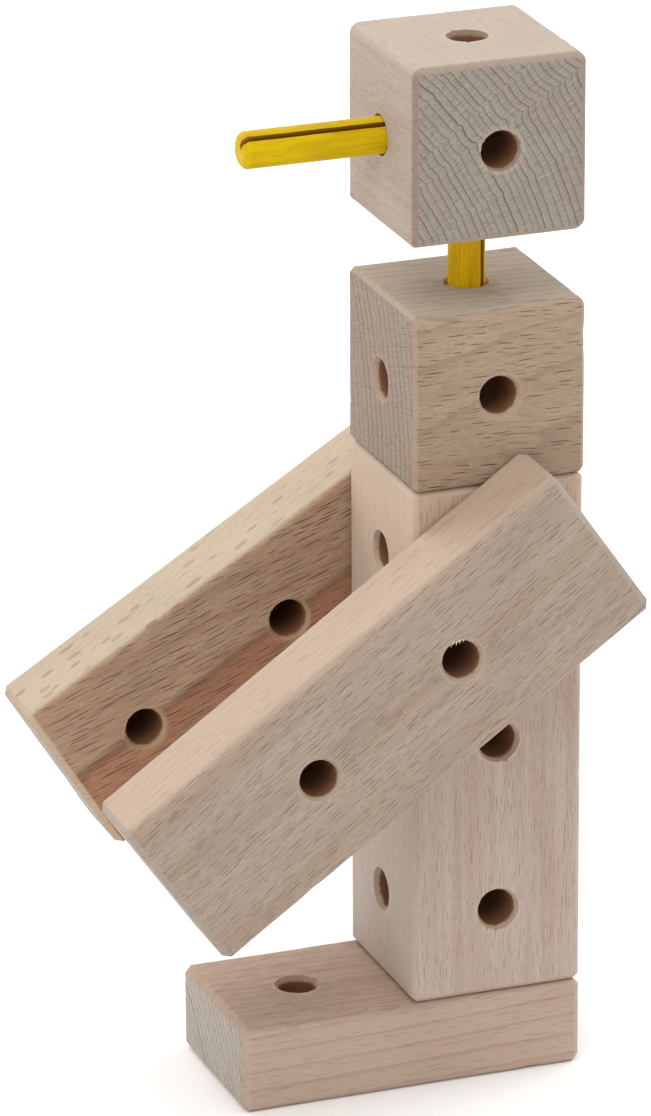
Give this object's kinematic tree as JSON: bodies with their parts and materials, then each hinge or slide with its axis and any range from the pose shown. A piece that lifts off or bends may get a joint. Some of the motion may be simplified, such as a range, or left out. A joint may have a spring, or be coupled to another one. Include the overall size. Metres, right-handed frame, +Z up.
{
  "type": "block-and-peg bird figure",
  "caption": "Bird figure of wooden blocks joined by slotted pegs, with turning wings, body and head, a beak that slides in and out, and open peg sockets all over.",
  "frame": {"origin": "on the floor under the body's vertical axis, on the foot's underside", "axes": "+Z up along the stacked blocks, -Y the way the beak and the foot point, +X the bird's left"},
  "size_m": [0.0604, 0.0913, 0.1765],
  "materials": {
    "foot_beech": "bare planed beech, sanded, with no varnish",
    "body_beech": "bare planed beech, sanded, with no varnish",
    "chest_beech": "bare planed beech, sanded, with no varnish",
    "head_beech": "bare planed beech, sanded, with no varnish",
    "left_wing_beech": "bare planed beech, sanded, with no varnish",
    "right_wing_beech": "bare planed beech, sanded, with no varnish",
    "yellow_stain": "birch dowel stained yellow, satin, grain showing through"
  },
  "bodies": {
    "foot": {"foot_block": "foot_beech", "foot_peg": "yellow_stain"},
    "body": {"body_block": "body_beech", "chest_peg": "yellow_stain"},
    "chest": {"chest_block": "chest_beech"},
    "neck": {"neck_peg": "yellow_stain"},
    "head": {"head_block": "head_beech"},
    "beak": {"beak_peg": "yellow_stain"},
    "left_pin": {"left_wing_peg": "yellow_stain"},
    "left_wing": {"left_wing": "left_wing_beech"},
    "right_pin": {"right_wing_peg": "yellow_stain"},
    "right_wing": {"right_wing": "right_wing_beech"}
  },
  "joints": [
    {"name": "body_turn", "type": "hinge", "parent": "foot", "child": "body", "pos_m": [0, 0, 0.015], "axis": [0, 0, 1], "continuous": true},
    {"name": "chest_lift", "type": "slide", "parent": "body", "child": "chest", "axis": [0, 0, 1], "range_m": [0, 0.008]},
    {"name": "neck_slide", "type": "slide", "parent": "chest", "child": "neck", "axis": [0, 0, 1], "range_m": [-0.007, 0.006]},
    {"name": "head_turn", "type": "hinge", "parent": "neck", "child": "head", "pos_m": [0, 0, 0.1465], "axis": [0, 0, 1], "continuous": true},
    {"name": "beak_slide", "type": "slide", "parent": "head", "child": "beak", "axis": [0, -1, 0], "range_m": [-0.018, 0.006]},
    {"name": "left_wing_pull", "type": "slide", "parent": "body", "child": "left_pin", "axis": [1, 0, 0], "range_m": [0, 0.007]},
    {"name": "left_wing_turn", "type": "hinge", "parent": "left_pin", "child": "left_wing", "pos_m": [0.0152, 0, 0.09], "axis": [1, 0, 0], "continuous": true},
    {"name": "right_wing_pull", "type": "slide", "parent": "body", "child": "right_pin", "axis": [-1, 0, 0], "range_m": [0, 0.007]},
    {"name": "right_wing_turn", "type": "hinge", "parent": "right_pin", "child": "right_wing", "pos_m": [-0.0152, 0, 0.09], "axis": [1, 0, 0], "continuous": true}
  ]
}
